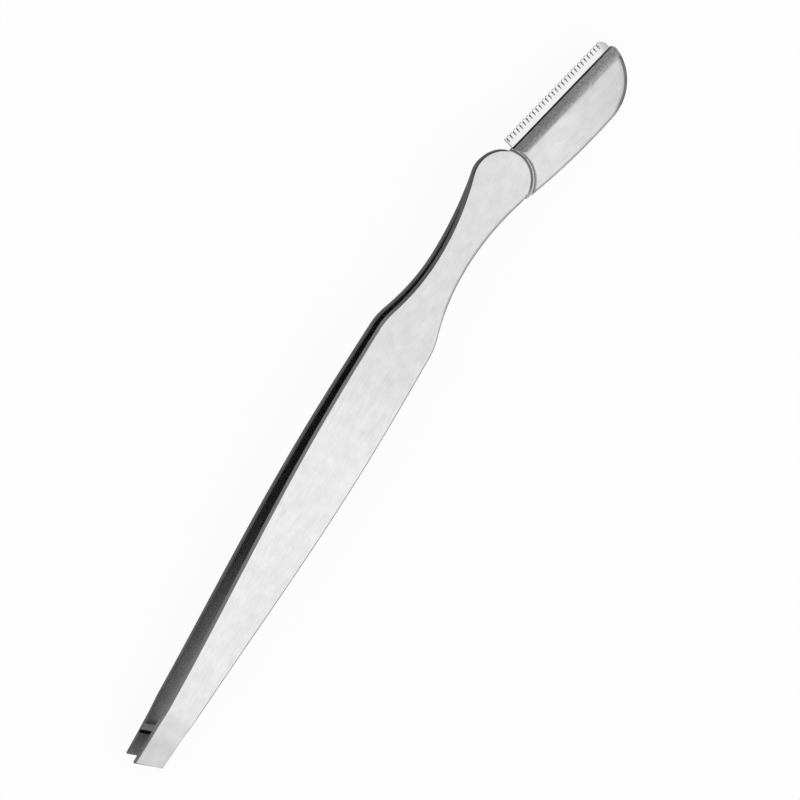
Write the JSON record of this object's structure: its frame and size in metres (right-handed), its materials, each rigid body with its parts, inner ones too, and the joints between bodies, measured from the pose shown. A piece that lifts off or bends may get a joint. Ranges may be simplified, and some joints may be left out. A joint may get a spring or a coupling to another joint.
{
  "type": "folding eyebrow razor with tweezers",
  "caption": "Slant-tip tweezers in brushed steel with a round head, from which a thin comb-guarded eyebrow razor folds in between the arms.",
  "frame": {"origin": "on the razor's pivot axis, at the centre of the round head's front face", "axes": "+X along the handle from the tweezer tips to the razor, +Y to the side that the cutting edge faces, +Z out of the front face"},
  "size_m": [0.1407, 0.0169, 0.0084],
  "materials": {
    "arm_steel": "brushed along the arm",
    "rivet_steel": "turned",
    "bearing_brass": "turned",
    "tang_steel": "ground",
    "holder_steel": "brushed, with a ground bevel",
    "blade_steel": "polished and honed",
    "comb_steel": "satin"
  },
  "bodies": {
    "handle": {"front_arm": "arm_steel", "pivot_rivet": "rivet_steel", "stop_pin": "rivet_steel", "front_washer": "bearing_brass", "rear_washer": "bearing_brass"},
    "rear_arm": {"rear_arm": "arm_steel"},
    "razor": {"pivot_bush": "bearing_brass", "tang_plate": "tang_steel", "front_cheek": "holder_steel", "rear_cheek": "holder_steel", "razor_blade": "blade_steel", "front_comb": "comb_steel", "rear_comb": "comb_steel"}
  },
  "joints": [
    {"name": "razor_fold", "type": "hinge", "parent": "handle", "child": "razor", "pos_m": [0, 0, -0.00195], "axis": [0, 0, 1], "range_deg": [0, 184]},
    {"name": "arm_squeeze", "type": "hinge", "parent": "handle", "child": "rear_arm", "pos_m": [0, 0, -0.00275], "axis": [0, 1, 0], "range_deg": [0, 2.21], "stiffness_Nm_per_rad": 3}
  ]
}
